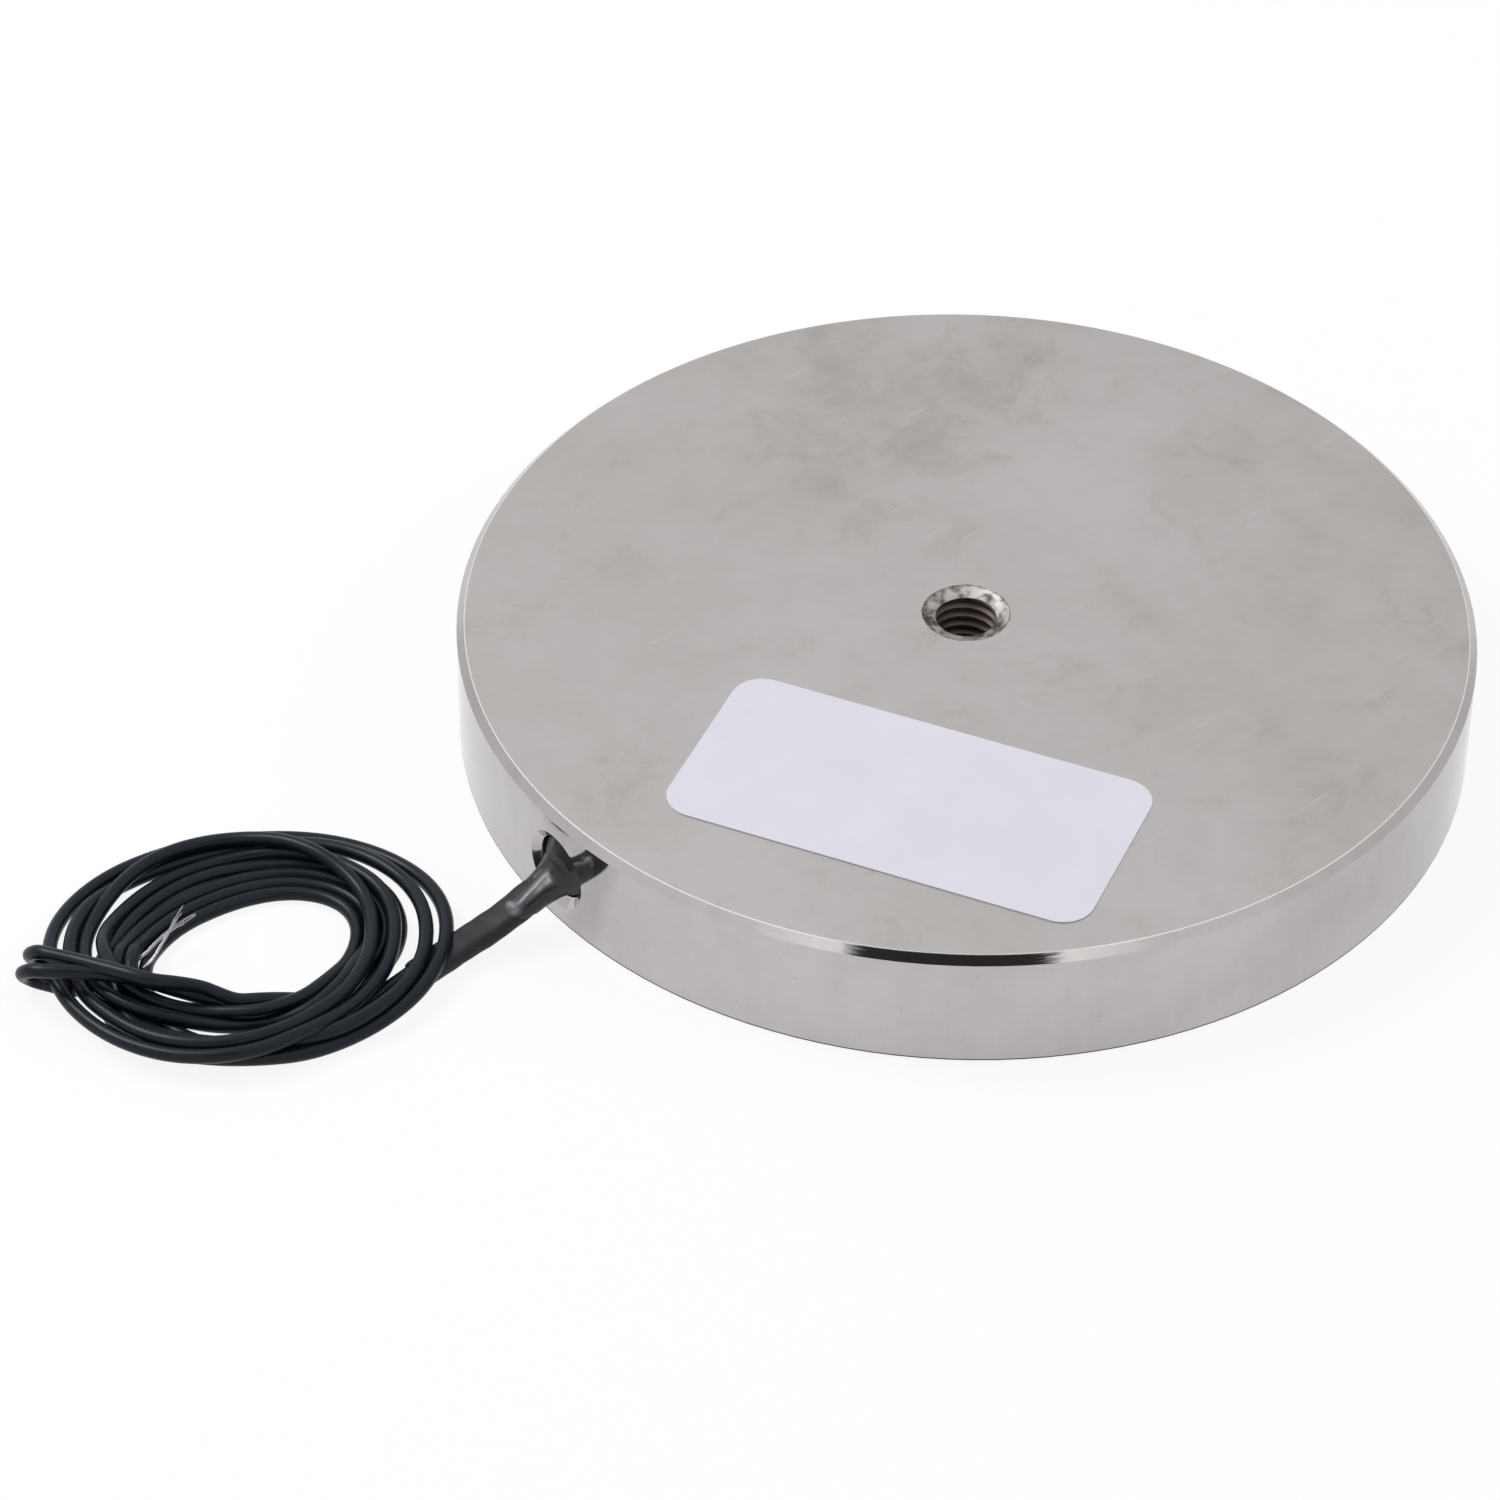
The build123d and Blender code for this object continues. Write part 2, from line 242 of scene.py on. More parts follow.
# The leads' ends, which cross the coil, fold round it and come up inside it
END_A = [
    (-57.0, 5.0, .6), (-58.1, 5.9, 1.0), (-59.2, 6.9, 1.5), (-60.5, 8.0, 2.1),
    (-61.75, 9.02, 2.8), (-63.54, 10.55, 3.1), (-65.5, 12.07, 3.3), (-66.69, 13.04, 3.3),
    (-67.3, 13.85, 3.1), (-67.47, 14.74, 2.3), (-66.95, 15.35, 1.25), (-66.3, 15.2, .57),
    (-65.75, 14.4, .54), (-64.8, 13.0, .5), (-62.6, 11.7, .5), (-60.9, 11.3, .9),
]
END_B = [
    (-57.3, 4.7, 1.5), (-58.1, 5.6, 1.9), (-58.9, 6.4, 2.4), (-60.58, 6.85, 3.4),
    (-61.91, 7.59, 3.8), (-62.89, 9.1, 3.9), (-64.37, 12.33, 3.4), (-65.52, 14.11, 3.3),
    (-65.94, 15.1, 3.1), (-66.11, 15.99, 2.3), (-65.62, 16.62, 1.25), (-65.0, 16.5, .57),
    (-64.65, 15.6, .54), (-64.2, 13.9, .5), (-62.5, 12.9, .5), (-60.9, 12.4, .9),
]
# The last points of each end, which lie under the coil
UNDER = 5


def rim_point(out, side, height):
    """Point a distance out from the rim along the sleeve's line and to its side."""
    x = -RIM_RADIUS - out * math.cos(SLEEVE_TURN) + side * math.sin(SLEEVE_TURN)
    y = out * math.sin(SLEEVE_TURN) + side * math.cos(SLEEVE_TURN)
    return (x, y, height)


def exit_points(side):
    """A lead's points from its splice to the end of the sleeve. Side is 1 or -1."""
    offset = side * LEAD_OFFSET
    corner = rim_point(LEAD_CORNER[0], offset, LEAD_CORNER[1])
    start = (corner[0] + SPLICE_RUN * math.sin(SPLICE_LEAN),
             corner[1] + SPLICE_RUN * side * math.cos(SPLICE_LEAN), corner[2])
    return [start, corner] + [rim_point(out, offset, height) for out, height in LEAD_RUN]


def coil_points(stations, step=5.0):
    """Centre line of a lead round the coil.

    Between two stations the radius and height follow the cubic through the four
    nearest stations. The point is the centre plus that radius at the angle.
    """
    table = np.array(stations)
    table = np.vstack([2 * table[0] - table[1], table, 2 * table[-1] - table[-2]])
    turned = np.arange(0, STATION_STEP * (len(stations) - 1) + step / 2, step)
    at = np.minimum((turned / STATION_STEP).astype(int), len(stations) - 2)
    u = (turned / STATION_STEP - at)[:, None]
    p0, p1, p2, p3 = (table[at + k] for k in range(4))
    value = 0.5 * (2 * p1 + (p2 - p0) * u + (2 * p0 - 5 * p1 + 4 * p2 - p3) * u**2
                   + (3 * p1 - p0 - 3 * p2 + p3) * u**3)
    angle = np.radians(COIL_START - turned)
    return np.stack([COIL_CENTRE[0] + value[:, 0] * np.cos(angle),
                     COIL_CENTRE[1] + value[:, 0] * np.sin(angle), value[:, 1]], 1)


# How the coil settles, as shares or millimetres a round: how strongly a point is
# held to its first place along each axis, drawn to its neighbours, and sinks
HELD = (0.04, 0.04, 0.02)
DRAWN = 0.25
SINKS = 0.004
# Points this near along one strand don't push each other
SAME_PLACE = 5


def settle(coils, over, under, diameter=1.0, rounds=200):
    """Lets the coil's strands lie on and beside each other and on the ends under them.

    Each round moves every two points of different strands apart by the part of
    a diameter that they overlap, half of it each, draws each point a little to
    its neighbours' mean and to its first place, lets it sink, and keeps it on
    the floor and on top of the ends under it. The ends stay where they are.
    """
    moving = np.vstack(coils)
    still = np.vstack(over)
    count = len(moving)
    strand = np.concatenate([np.full(len(c), i) for i, c in enumerate(coils)])
    order = np.concatenate([np.arange(len(c)) for c in coils])
    near = (strand[:, None] == strand) & (np.abs(order[:, None] - order) < SAME_PLACE)
    first = moving.copy()
    tips = (order == 0) | np.r_[order[1:] == 0, True]
    weight = np.r_[np.full(count, 0.5), np.full(len(still), 1.0)]
    for _ in range(rounds):
        everything = np.vstack([moving, still])
        apart = moving[:, None] - everything[None]
        distance = np.sqrt((apart**2).sum(-1)) + 1e-9
        overlap = np.clip(diameter - distance, 0, None)
        overlap[:, :count][near] = 0
        share = overlap / distance * weight
        touching = np.maximum((overlap > 0).sum(1), 1)[:, None]
        push = (apart * share[..., None]).sum(1) / np.sqrt(touching)
        middle = np.zeros_like(moving)
        middle[1:-1] = (moving[:-2] + moving[2:]) / 2 - moving[1:-1]
        middle[tips] = 0
        moving = moving + push + DRAWN * middle + HELD * (first - moving)
        beside = np.linalg.norm(moving[:, None, :2] - under[None, :, :2], axis=-1)
        top = under[:, 2] + np.sqrt(np.clip(diameter**2 - beside**2, 0, None))
        rest = np.where(beside < diameter, top, 0).max(1)
        moving[:, 2] = np.maximum(moving[:, 2] - SINKS, np.maximum(rest, diameter / 2))
    return np.split(moving, [len(coils[0])])


@functools.lru_cache
def lead_routes():
    """Control points of both leads in metres, from their splices to their bare ends."""
    ends = [np.array(END_A), np.array(END_B)]
    over = [np.vstack([e[2:-UNDER], (e[3:-UNDER] + e[2:-UNDER - 1]) / 2]) for e in ends]
    under = np.vstack([along(e[-UNDER:], np.arange(0, 7, 0.4)) for e in ends])
    coils = settle([coil_points(COIL_A), coil_points(COIL_B)], over, under)
    return [np.vstack([exit_points(side), coil[::3], end]) * MM
            for side, coil, end in ((1, coils[0], ends[0]), (-1, coils[1], ends[1]))]


# The other pieces

# The sleeve's wall and where it begins and ends along the leads, the hole in the rim,
# and where the thread's crests end below the countersink, in millimetres
SLEEVE_WALL = 0.19
SLEEVE_FROM, SLEEVE_TO = 3.0, 16.95
LEAD_RADIUS = 0.5
HOLE_RADIUS = 2.29
HOLE_HEIGHT = 4.3
THREAD_TOP = 8.62
# Where the back was handled most, in metres
HANDLED = (0.011, 0.021, 0.009)


def pair_section(radius, turns):
    """Outline round two leads side by side: two circles' outer arcs, with a slight waist."""
    c, s = np.cos(turns), np.sin(turns)
    waist = 1 - 0.07 * np.exp(-(c / 0.4) ** 2)
    return np.stack([LEAD_OFFSET * np.tanh(3 * c) + radius * c, radius * s * waist], 1)


def sleeve_line(routes):
    """Middle line between both leads, from their splices on, in millimetres."""
    middle = (routes[0] + routes[1])[1:9] / 2 / MM
    return spline_points(middle)


def sleeve_mesh(line):
    """Sleeve shrunk over both leads.

    Its outline follows the leads' pair at a wall's distance, with slow waves of
    a few hundredths of a millimetre, and draws in at the cut end. The inside
    follows the pair itself and joins the outside at both ends.
    """
    turns = np.linspace(0, 2 * np.pi, 40, endpoint=False)
    distance = np.linspace(SLEEVE_FROM, SLEEVE_TO, 90)
    path = along(line, distance)
    way = distance[:, None]
    wave = 0.014 * np.sin(1.9 * way + 2 * turns) + 0.01 * np.sin(4.3 * way - 3 * turns)
    drawn_in = 0.07 * np.exp((way - SLEEVE_TO) / 0.25)
    wall = SLEEVE_WALL + wave - drawn_in
    outside = np.stack([pair_section(LEAD_RADIUS + 0.01, turns)] * len(path))
    inside = outside.copy()
    direction = np.stack([np.cos(turns), np.sin(turns)], 1)
    outside = outside + wall[..., None] * direction
    rings = np.concatenate([tube(path, outside), tube(path, inside)[::-1]])
    return smooth_mesh("shrink_sleeve", [grid_faces(rings, caps=False)])


def step(value, middle, width):
    """Smooth step from 0 to 1 about the middle: half of one plus the hyperbolic tangent."""
    return 0.5 + 0.5 * np.tanh((value - middle) / width)


# The glue's fillet: share of the hole's circle in its outline at distances out from
# the rim, in millimetres, and the height of the film's raised edge
GLUE_FILLET = [
    (-1.0, 1.0), (-0.85, 0.93), (-0.65, 0.74), (-0.4, 0.52), (0.0, 0.28), (0.5, 0.12),
    (1.1, 0.04), (1.7, 0.0),
]
GLUE_EDGE = 0.08


def glue_mesh(line):
    """Glue that fills the hole round the sleeve and runs out along it in a thin film.

    A ring's outline is a share of the hole's circle and the rest of the sleeve's
    outline. The share falls from 1 below the rim to 0 outside it, which gives a
    hollow fillet. Over the sleeve the outline stands off by the film's thickness,
    with a raised edge and a drop at its end, and where there is no film it lies
    inside the sleeve. A point attribute marks the raised edge and the drop, where
    a painted highlight lightens the glue.
    """
    turns = np.linspace(-np.pi, np.pi, 96, endpoint=False)
    out = np.concatenate([np.linspace(-3.6, -1.1, 6), np.linspace(-1.0, 4.4, 100)])[:, None]
    path = along(line, out[:, 0] - LEAD_CORNER[0])
    share = np.interp(out, *np.transpose(GLUE_FILLET))
    covered = step(turns, -0.7, 0.15) - step(turns, 1.6, 0.1)
    reach = 1.3 + covered * (1.4 + 0.5 * (turns + 0.7)) + 0.2 * np.sin(5 * turns)
    film = (0.05 + 0.11 * covered) * (1 - step(out, reach, 0.15)) - 0.03
    edge_place = np.exp(-((turns - 1.62 + 0.1 * out) / 0.1) ** 2)
    edge = GLUE_EDGE * edge_place * step(out, 0.5, 0.3) * (1 - step(out, 3.5, 0.1))
    drop = 0.3 * np.exp(-((out - 3.5) / 0.34) ** 2 - ((turns - 1.3) / 0.36) ** 2)
    lumps = 0.05 * np.sin(3 * turns + 1.3 * out) + 0.03 * np.sin(5 * turns - 2.1 * out)
    thick = film + edge + drop + lumps * np.exp(-((out - 0.2) / 0.8) ** 2)
    direction = np.stack([np.cos(turns), np.sin(turns)], 1)
    outline = pair_section(LEAD_RADIUS + SLEEVE_WALL + 0.01, turns) + thick[..., None] * direction
    rise = np.stack([np.zeros(len(path)), HOLE_HEIGHT - path[:, 2]], 1)[:, None]
    circle = HOLE_RADIUS * direction + rise
    section = share[..., None] * circle + (1 - share[..., None]) * outline
    mesh = smooth_mesh("exit_glue_bead", [grid_faces(tube(path, section))])
    # Where a highlight is painted: the raised edge and the drop
    painted_glint = np.clip(edge / GLUE_EDGE + drop / 0.2, 0, 1)
    mesh.attributes.new("painted_glint", "FLOAT", "POINT").data.foreach_set("value", np.r_[painted_glint.ravel(), 0, 0])
    return mesh


def thread_mesh(pitch):
    """Countersink and ridges of the fixing thread.

    The countersink is a shallow cone from the back's face down to the thread's
    crests. Below it the radius is the bore's, less a rounded ridge whose height
    over the bore depends on the height along the hole less the angle's share of
    one pitch. The back of the piece lies just inside the steel.
    """
    bore, crest, low, high = 2.5, 2.08, 3.02, THREAD_TOP
    mouth, face = 3.045, 8.995
    pitch = pitch / MM
    turns = np.linspace(0, 2 * np.pi, 72, endpoint=False)
    levels_a_pitch = 14
    levels = int((high - low) / pitch * levels_a_pitch)
    heights = np.r_[np.linspace(low, high, levels), np.linspace(high + 0.02, face, 12)]
    phase = heights[:, None] / pitch - turns / (2 * np.pi)
    ridge = np.clip(1.25 * (1 - np.abs((phase % 1.0) * 2 - 1)) - 0.12, 0, 1) ** 0.9
    ridge = np.maximum(ridge, np.clip((heights[:, None] - high + 0.12) / 0.1, 0, 1))
    cone = crest + (mouth - crest) * (heights[:, None] - high) / (face - high)
    radius = np.maximum(bore - (bore - crest) * ridge, cone)
    back = np.array([[mouth + 0.005, face], [bore + 0.03, 8.44], [bore + 0.03, low]])[:, :, None]
    back = np.broadcast_to(back, (3, 2, len(turns)))
    radius = np.vstack([radius, back[:, 0]])
    level = np.vstack([np.broadcast_to(heights[:, None], (len(heights), len(turns))), back[:, 1]])
    rings = np.stack([radius * np.cos(turns), radius * np.sin(turns), level], -1)
    return smooth_mesh("fixing_thread_ridges", [grid_faces(rings[:, ::-1], caps=False)])


# Bare ends: where the fine wires leave the insulation, and where the bundle tips lie
BARE_A = [
    (-61.2, 11.5, 0.9), (-60.2, 10.9, 1.6), (-58.6, 11.6, 2.2), (-57.0, 12.6, 2.5),
    (-55.2, 13.9, 2.6),
]
BARE_B = [
    (-61.2, 12.4, 0.8), (-60.2, 12.0, 1.3), (-58.4, 12.5, 1.8), (-56.6, 12.8, 2.0),
    (-54.8, 12.9, 1.9),
]


def strands_mesh(name, middle, diameter, count, seed):
    """Fine wires of a bare end.

    Each wire follows the bundle's middle line in a tight twist of one turn and
    leaves it by a fan that grows with the fourth power of the way along. Its
    tube has six sides.
    """
    draw = np.random.default_rng(seed)
    line = spline_points(np.array(middle))
    length = np.linalg.norm(np.diff(line, axis=0), axis=1).sum()
    turns = np.linspace(0, 2 * np.pi, 6, endpoint=False)
    hexagon = np.stack([np.cos(turns), np.sin(turns)], 1) * diameter / 2 / MM
    parts = []
    for k in range(count):
        start = 2 * np.pi * k / count
        reach = length * draw.uniform(0.72, 1.0)
        way = np.linspace(0, reach, 28)
        path = along(line, way)
        share = way / length
        spread = 0.07 + draw.uniform(0.0, 0.3) * share**4
        twist = start + 7.0 * share + draw.uniform(-0.5, 0.5) * share
        path[:, 1] += spread * np.cos(twist)
        path[:, 2] += spread * np.sin(twist) * 0.8
        path[:, 0] += draw.uniform(-0.25, 0.25) * share**4
        path[:, 2] = np.maximum(path[:, 2], diameter / MM)
        parts.append(grid_faces(tube(path, hexagon)))
    return smooth_mesh(name, parts)


# Node helper


def add_node(tree, kind, inputs=None, **settings):
    """Adds a shader node.

    An input is a value, a socket to link, or a node, of which the first output
    that is in use is linked.
    """
    node = tree.nodes.new("ShaderNode" + kind)
    for key, value in settings.items():
        setattr(node, key, value)
    for key, value in (inputs or {}).items():
        if isinstance(value, bpy.types.Node):
            value = next(output for output in value.outputs if output.enabled)
        if isinstance(value, bpy.types.NodeSocket):
            tree.links.new(value, node.inputs[key])
        else:
            node.inputs[key].default_value = value
    return node


def new_material(name):
    """Material with an empty node tree, and that tree."""
    material = bpy.data.materials.new(name)
    material.use_nodes = True
    material.node_tree.nodes.clear()
    return material, material.node_tree


def rgba(colour):
    """A colour property as four numbers."""
    return (*colour, 1.0)


def round_axis(tree, place):
    """Distance of a place from the magnet's axis, and its height."""
    flat = add_node(tree, "VectorMath", {0: place, 1: (1.0, 1.0, 0.0)}, operation="MULTIPLY")
    radius = add_node(tree, "VectorMath", {0: flat}, operation="LENGTH")
    return radius, add_node(tree, "SeparateXYZ", {"Vector": place}).outputs["Z"]


def insulation_black(colours):
    """Extruded black PVC: smooth and dull, with fine flow marks."""
    material, tree = new_material("black_pvc_extruded")
    place = add_node(tree, "TexCoord").outputs["Object"]
    # Flow marks and handling marks, about 0.7 mm apart
    marks = add_node(tree, "TexNoise", {"Vector": place, "Scale": 1400.0, "Detail": 3.0})
    dullness = add_node(tree, "MapRange", {"Value": marks, "To Min": 0.27, "To Max": 0.38})
    shine = add_node(tree, "Mix", {
        "Factor": marks, "A": rgba(colours.lead), "B": linear("#151D26")}, data_type="RGBA")
    relief = add_node(tree, "Bump", {"Strength": 0.12, "Distance": 0.00003, "Height": marks})
    surface = add_node(tree, "BsdfPrincipled", {
        "Base Color": shine, "Roughness": dullness, "Normal": relief, "IOR": 1.53,
        "Specular IOR Level": 0.18})
    add_node(tree, "OutputMaterial", {"Surface": surface})
    return material


def shrunk_polyolefin(colours):
    """Heat-shrunk polyolefin: dull black with a fine pebble, 0.15 mm across."""
    material, tree = new_material("shrunk_polyolefin")
    place = add_node(tree, "TexCoord").outputs["Object"]
    pebble = add_node(tree, "TexNoise", {"Vector": place, "Scale": 6500.0, "Detail": 2.0})
    wear = add_node(tree, "TexNoise", {"Vector": place, "Scale": 700.0, "Detail": 4.0})
    tint = add_node(tree, "Mix", {
        "Factor": wear, "A": rgba(colours.sleeve), "B": linear("#25262B")}, data_type="RGBA")
    dullness = add_node(tree, "MapRange", {"Value": wear, "To Min": 0.42, "To Max": 0.62})
    relief = add_node(tree, "Bump", {"Strength": 0.35, "Distance": 0.00004, "Height": pebble})
    surface = add_node(tree, "BsdfPrincipled", {
        "Base Color": tint, "Roughness": dullness, "Normal": relief, "IOR": 1.5,
        "Specular IOR Level": 0.28})
    add_node(tree, "OutputMaterial", {"Surface": surface})
    return material


def set_glue():
    """Black adhesive set glossy and wet looking, with a painted highlight on its raised edge and drop.
    """
    material, tree = new_material("black_adhesive_set")
    place = add_node(tree, "TexCoord").outputs["Object"]
    painted_glint = add_node(tree, "Attribute", attribute_name="painted_glint")
    lumps = add_node(tree, "TexNoise", {"Vector": place, "Scale": 900.0, "Detail": 1.0})
    # Painted highlight: pale grey where the attribute marks the raised edge and the drop
    glint_painted = add_node(tree, "Mix", {
        "Factor": painted_glint.outputs["Fac"], "A": linear("#131417"),
        "B": linear("#85838A")}, data_type="RGBA")
    dullness = add_node(tree, "MapRange", {
        "Value": lumps, "From Min": 0.3, "From Max": 0.7, "To Min": 0.22, "To Max": 0.4})
    relief = add_node(tree, "Bump", {"Strength": 0.25, "Distance": 0.0002, "Height": lumps})
    surface = add_node(tree, "BsdfPrincipled", {
        "Base Color": glint_painted, "Roughness": dullness, "Normal": relief, "IOR": 1.5})
    add_node(tree, "OutputMaterial", {"Surface": surface})
    return material


def nickelled_steel(colours):
    """Turned steel with nickel plating: satin on the back, polished round the rim.

    The back has clouds, handling smudges and fine scratches in its satin. The
    chamfer and the rim mirror what stands beside them, under faint clouds and
    brown specks, and a white line of painted highlight runs round the chamfer's
    top edge. The hole's bottom is torn and spotted. The holding face is bare
    steel, ground in circles, and a dark band of painted shade runs round the foot
    of the rim, standing in for its contact shadow.
    """
    material, tree = new_material("nickel_plated_steel_turned")
    place = add_node(tree, "TexCoord").outputs["Object"]
    radius, height = round_axis(tree, place)
    # Where each finish, the painted highlight line and the painted shade band begin
    # and are full, by radius and by height in metres
    polish, crest, hole, upper, painted_shade_band, ground = (
        add_node(tree, "MapRange", {"Value": value, "From Min": begins, "From Max": full})
        for value, begins, full in (
            (radius, 0.03446, 0.03450), (radius, 0.03439, 0.03446), (radius, 0.00310, 0.00304),
            (height, 0.002, 0.0025), (height, 0.00024, 0.00018), (height, 0.00003, 0.00001)))
    in_hole = add_node(tree, "Math", {0: hole, 1: upper}, operation="MULTIPLY")
    # Painted highlight: a thin band where the top face meets the chamfer, to be lit near white
    painted_highlight_line = add_node(tree, "Math", {0: crest, 1: polish}, operation="SUBTRACT")
    # Clouds 25 mm across, smudges 5 mm and spots 0.4 mm across
    cloud = add_node(tree, "TexNoise", {
        "Vector": place, "Scale": 40.0, "Detail": 5.0, "Roughness": 0.6, "Distortion": 0.2})
    smudge = add_node(tree, "TexNoise", {
        "Vector": place, "Scale": 190.0, "Detail": 7.0, "Roughness": 0.7, "Distortion": 0.3})
    spots = add_node(tree, "TexNoise", {"Vector": place, "Scale": 2300.0, "Detail": 3.0})
    # Grain of the satin: too fine to show at its real size, so drawn 0.24 mm across
    grain = add_node(tree, "TexNoise", {
        "Vector": place, "Scale": 4200.0, "Detail": 3.0, "Roughness": 0.7})
    # Scratches: a noise drawn out 33 times along a slanting line, cut off above a level
    slant = add_node(tree, "Mapping", {
        "Vector": place, "Rotation": (0.0, 0.0, 0.6), "Scale": (110.0, 3600.0, 110.0)})
    scored = add_node(tree, "TexNoise", {
        "Vector": slant, "Scale": 1.0, "Detail": 1.0, "Distortion": 1.2})
    scratches = add_node(tree, "MapRange", {
        "Value": scored, "From Min": 0.7, "From Max": 0.8, "To Max": 0.5})
    # Faint streaks up the rim from the plating bath, about 1 mm apart
    upright = add_node(tree, "Mapping", {"Vector": place, "Scale": (900.0, 900.0, 60.0)})
    marks = add_node(tree, "TexNoise", {"Vector": upright, "Scale": 1.0, "Detail": 3.0})
    both = add_node(tree, "Math", {0: smudge, 1: 0.5, 2: cloud}, operation="MULTIPLY_ADD")
    dimmed = add_node(tree, "MapRange", {"Value": both, "From Min": 0.6, "From Max": 0.92})
    satin = add_node(tree, "Mix", {
        "Factor": dimmed, "A": rgba(colours.nickel), "B": linear("#AFACAA")}, data_type="RGBA")
    # Small dark smears, crowded where the back was handled most
    apart = add_node(tree, "VectorMath", {0: place, 1: HANDLED}, operation="DISTANCE")
    handled = add_node(tree, "MapRange", {
        "Value": apart, "From Min": 0.002, "From Max": 0.018, "To Min": 0.12,
        "To Max": 0.0}, interpolation_type="SMOOTHSTEP")
    crowded = add_node(tree, "Math", {0: smudge, 1: handled}, operation="ADD")
    smeared = add_node(tree, "MapRange", {
        "Value": crowded, "From Min": 0.56, "From Max": 0.86, "To Max": 0.42})
    handled_satin = add_node(tree, "Mix", {
        "Factor": smeared, "A": satin, "B": linear("#8F8884")}, data_type="RGBA")
    scored_satin = add_node(tree, "Mix", {
        "Factor": scratches, "A": handled_satin, "B": linear("#C9C7C5")}, data_type="RGBA")
    streaked = add_node(tree, "Math", {0: marks, 1: 0.2, 2: both}, operation="MULTIPLY_ADD")
    dulled = add_node(tree, "MapRange", {"Value": streaked, "From Min": 0.68, "From Max": 1.06})
    mirror = add_node(tree, "Mix", {
        "Factor": dulled, "A": rgba(colours.nickel_rim), "B": linear("#AFABAA")}, data_type="RGBA")
    speck = add_node(tree, "MapRange", {
        "Value": spots, "From Min": 0.7, "From Max": 0.85, "To Max": 0.7})
    speckled = add_node(tree, "Mix", {
        "Factor": speck, "A": mirror, "B": linear("#8F837D")}, data_type="RGBA")
    outside = add_node(tree, "Mix", {
        "Factor": polish, "A": scored_satin, "B": speckled}, data_type="RGBA")
    # The painted highlight line round the chamfer's top edge, near white
    highlight_painted = add_node(tree, "Mix", {
        "Factor": painted_highlight_line, "A": outside, "B": linear("#F0EFEE")}, data_type="RGBA")
    # Tears in the hole, 0.7 mm across
    tears = add_node(tree, "TexNoise", {"Vector": place, "Scale": 1400.0, "Detail": 2.0})
    torn = add_node(tree, "MapRange", {"Value": tears, "From Min": 0.36, "From Max": 0.66})
    spotted = add_node(tree, "Mix", {
        "Factor": torn, "A": linear("#D2CFCC"), "B": linear("#57524F")}, data_type="RGBA")
    holed = add_node(tree, "Mix", {"Factor": in_hole, "A": highlight_painted, "B": spotted}, data_type="RGBA")
    # Painted shade: a dark band 0.18 to 0.24 mm up round the foot, standing in for the contact shadow
    # at the floor
    foot_shade_painted = add_node(tree, "Mix", {"Factor": painted_shade_band, "A": holed, "B": linear("#2B2826")}, data_type="RGBA")
    # Circles left by grinding, 0.6 mm apart
    lay = add_node(tree, "TexWave", {
        "Vector": place, "Scale": 520.0, "Distortion": 1.5, "Detail": 3.0,
        "Detail Scale": 2.0}, wave_type="RINGS", rings_direction="Z")
    ground_steel = add_node(tree, "Mix", {
        "Factor": lay.outputs["Fac"], "A": linear("#A5A29F"), "B": linear("#B9B7B5")}, data_type="RGBA")
    colour = add_node(tree, "Mix", {"Factor": ground, "A": foot_shade_painted, "B": ground_steel}, data_type="RGBA")
    satin_dullness = add_node(tree, "MapRange", {
        "Value": both, "From Min": 0.6, "From Max": 0.92, "To Min": 0.33, "To Max": 0.46})
    mirror_dullness = add_node(tree, "MapRange", {
        "Value": both, "From Min": 0.6, "From Max": 0.92, "To Min": 0.035, "To Max": 0.1})
    dullness = add_node(tree, "Mix", {
        "Factor": polish, "A": satin_dullness, "B": mirror_dullness}, data_type="FLOAT")
    # Tool lines round the rim and the chamfer, 0.15 mm apart, deeper on the chamfer
    level = add_node(tree, "Mapping", {"Vector": place, "Scale": (500.0, 500.0, 7000.0)})
    lines = add_node(tree, "TexNoise", {"Vector": level, "Scale": 1.0, "Detail": 2.0})
    chamfered = add_node(tree, "MapRange", {
        "Value": height, "From Min": 0.0084, "From Max": 0.00855, "To Min": 0.08, "To Max": 0.5})
    depth = add_node(tree, "Mix", {"Factor": polish, "A": 0.25, "B": chamfered}, data_type="FLOAT")
    turned = add_node(tree, "Mix", {"Factor": polish, "A": grain, "B": lines}, data_type="FLOAT")
    groove = add_node(tree, "Mix", {
        "Factor": ground, "A": turned, "B": lay.outputs["Fac"]}, data_type="FLOAT")
    relief = add_node(tree, "Bump", {"Strength": depth, "Distance": 0.00002, "Height": groove})
    surface = add_node(tree, "BsdfPrincipled", {
        "Base Color": colour, "Metallic": 1.0, "Roughness": dullness, "Normal": relief})
    add_node(tree, "OutputMaterial", {"Surface": surface})
    return material


